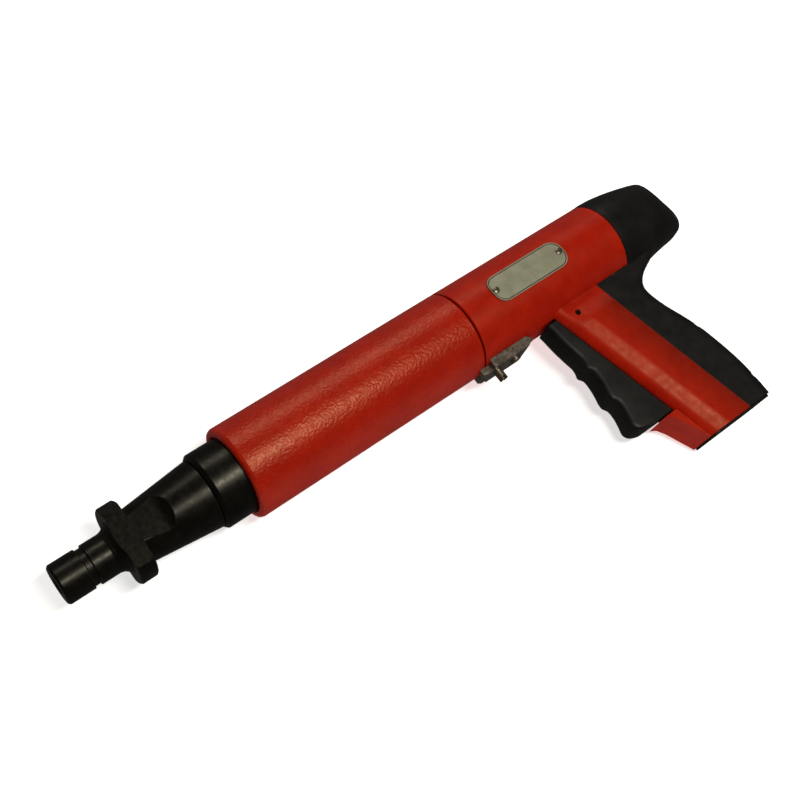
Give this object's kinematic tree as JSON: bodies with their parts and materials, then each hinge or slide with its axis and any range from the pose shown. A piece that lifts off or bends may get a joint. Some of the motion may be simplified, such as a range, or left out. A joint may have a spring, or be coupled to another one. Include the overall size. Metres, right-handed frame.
{
  "type": "powder-actuated nail gun",
  "caption": "Powder-actuated nail gun: long red barrel sleeve, black stepped nose, raked grip with a long finger-shaped trigger and a black rear cap.",
  "frame": {"origin": "centre of the muzzle's front face, on the barrel axis", "axes": "+X along the barrel towards the rear, +Y towards the top of the tool so that the grip hangs towards -Y, +Z out of the left side that carries the name plate; the tool lies on its right side"},
  "size_m": [0.3508, 0.1315, 0.0455],
  "materials": {
    "blackened_steel": "oil-blackened turned steel, semi-gloss",
    "bright_steel": "machined steel",
    "red_textured": "deep red wrinkle powder coat",
    "red_smooth": "deep red satin powder coat",
    "black_plastic": "moulded satin black plastic",
    "plate_metal": "matte grey-green anodised plate",
    "plated_steel": "zinc-plated pressed steel",
    "spring_steel": "spring wire",
    "buffer_rubber": "amber polyurethane"
  },
  "bodies": {
    "frame": {"front_sleeve": "red_textured", "housing": "red_smooth", "name_plate": "plate_metal", "name_plate_rivets": "plated_steel", "stop_clip": "plated_steel", "clip_screw": "plated_steel", "stop_pin_spring": "spring_steel", "spring_seat": "bright_steel", "return_spring": "spring_steel", "breech_block": "bright_steel", "firing_pin_guide": "bright_steel", "firing_spring": "spring_steel", "spring_plug": "bright_steel", "sear_pin": "bright_steel", "sear_spring": "spring_steel", "trigger_pin": "blackened_steel", "trigger_spring": "spring_steel", "backstrap_screws": "blackened_steel", "rear_cap": "black_plastic", "grip_base": "black_plastic"},
    "press_collar": {"press_collar": "bright_steel", "cocking_rod": "bright_steel"},
    "barrel": {"nose_piece": "blackened_steel", "barrel_casing": "blackened_steel", "barrel_tube": "bright_steel", "cartridge_chamber": "bright_steel", "piston_guide": "bright_steel", "buffer_ring": "buffer_rubber", "buffer_washer": "bright_steel"},
    "piston": {"piston": "bright_steel", "piston_rings": "spring_steel"},
    "firing_pin": {"firing_pin": "bright_steel"},
    "trigger": {"trigger": "black_plastic"},
    "trigger_bar": {"trigger_bar": "bright_steel"},
    "sear": {"sear": "bright_steel"},
    "stop_pin": {"stop_pin": "plated_steel"}
  },
  "joints": [
    {"name": "nose_press", "type": "slide", "parent": "frame", "child": "press_collar", "axis": [1, 0, 0], "range_m": [0, 0.014], "stiffness_N_per_m": 1200, "springref_m": -0.01, "deforming": ["return_spring"]},
    {"name": "barrel_pull", "type": "slide", "parent": "press_collar", "child": "barrel", "axis": [1, 0, 0], "range_m": [-0.042, 0]},
    {"name": "piston_stroke", "type": "slide", "parent": "barrel", "child": "piston", "axis": [1, 0, 0], "range_m": [-0.044, 0]},
    {"name": "firing_pin_cock", "type": "slide", "parent": "frame", "child": "firing_pin", "axis": [1, 0, 0], "range_m": [0, 0.014], "deforming": ["firing_spring"]},
    {"name": "trigger_pull", "type": "hinge", "parent": "frame", "child": "trigger", "pos_m": [0.2626, -0.0249, 0], "axis": [0, 0, 1], "range_deg": [0, 6.5], "stiffness_Nm_per_rad": 2, "springref_deg": -11.46, "deforming": ["trigger_spring"]},
    {"name": "trigger_bar_slide", "type": "slide", "parent": "frame", "child": "trigger_bar", "axis": [1, 0, 0], "range_m": [-0.001, 0]},
    {"name": "sear_turn", "type": "hinge", "parent": "frame", "child": "sear", "pos_m": [0.2962, -0.0112, 0], "axis": [0, 0, 1], "range_deg": [-12.4, 0], "deforming": ["sear_spring"]},
    {"name": "stop_pin_pull", "type": "slide", "parent": "frame", "child": "stop_pin", "axis": [0, -1, 0], "range_m": [0, 0.002], "stiffness_N_per_m": 1500, "springref_m": -0.003, "deforming": ["stop_pin_spring"]}
  ],
  "couplings": [
    {"joint": "firing_pin_cock", "follows": "nose_press", "ratio": 1},
    {"joint": "trigger_bar_slide", "follows": "trigger_pull", "m_per_rad": -0.0085},
    {"joint": "sear_turn", "follows": "trigger_pull", "ratio": -1.888}
  ]
}
